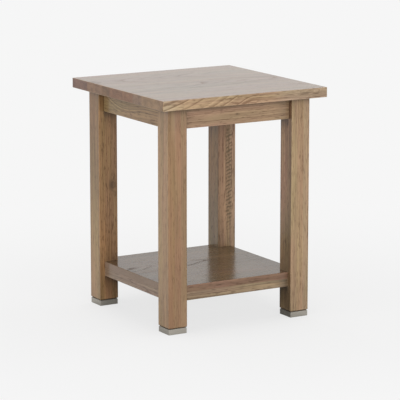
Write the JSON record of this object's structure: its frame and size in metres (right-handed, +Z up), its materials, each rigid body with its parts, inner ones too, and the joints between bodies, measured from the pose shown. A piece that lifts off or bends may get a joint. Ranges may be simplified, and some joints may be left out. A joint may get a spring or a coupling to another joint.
{
  "type": "end table",
  "caption": "Square wooden end table: overhanging edge-glued top on square legs with aprons, metal feet and a low open shelf notched round the legs.",
  "frame": {"origin": "on the floor under the middle of the table", "axes": "+Z up, +X from left to right along the front edge, +Y from front to back"},
  "size_m": [0.508, 0.508, 0.635],
  "materials": {
    "oak_top": "grey-brown stained oak, satin lacquer",
    "oak_shelf": "grey-brown stained oak, satin lacquer",
    "oak_frame": "grey-brown stained oak, satin lacquer",
    "raw_wood_blocks": "unfinished sawn wood",
    "beech_dowels": "unfinished turned wood",
    "brushed_metal_feet": "brushed nickel look",
    "zinc_screws": "bright zinc plate",
    "zinc_washers": "bright zinc plate"
  },
  "bodies": {
    "root": {"apron_back": "oak_frame", "apron_front": "oak_frame", "apron_left": "oak_frame", "apron_right": "oak_frame", "corner_block_back_left": "raw_wood_blocks", "corner_block_back_right": "raw_wood_blocks", "corner_block_front_left": "raw_wood_blocks", "corner_block_front_right": "raw_wood_blocks", "corner_block_screws": "zinc_screws", "foot_back_left": "brushed_metal_feet", "foot_back_right": "brushed_metal_feet", "foot_front_left": "brushed_metal_feet", "foot_front_right": "brushed_metal_feet", "foot_screws": "zinc_screws", "leg_back_left": "oak_frame", "leg_back_right": "oak_frame", "leg_front_left": "oak_frame", "leg_front_right": "oak_frame", "shelf_board_1": "oak_shelf", "shelf_board_2": "oak_shelf", "shelf_board_3": "oak_shelf", "shelf_board_4": "oak_shelf", "shelf_board_5": "oak_shelf", "shelf_rail_back": "oak_frame", "shelf_rail_dowels": "beech_dowels", "shelf_rail_front": "oak_frame", "shelf_rail_left": "oak_frame", "shelf_rail_right": "oak_frame", "shelf_screws": "zinc_screws", "top_board_1": "oak_top", "top_board_2": "oak_top", "top_board_3": "oak_top", "top_board_4": "oak_top", "top_board_5": "oak_top", "top_board_6": "oak_top", "top_screw_washers": "zinc_washers", "top_screws": "zinc_screws"}
  },
  "joints": []
}
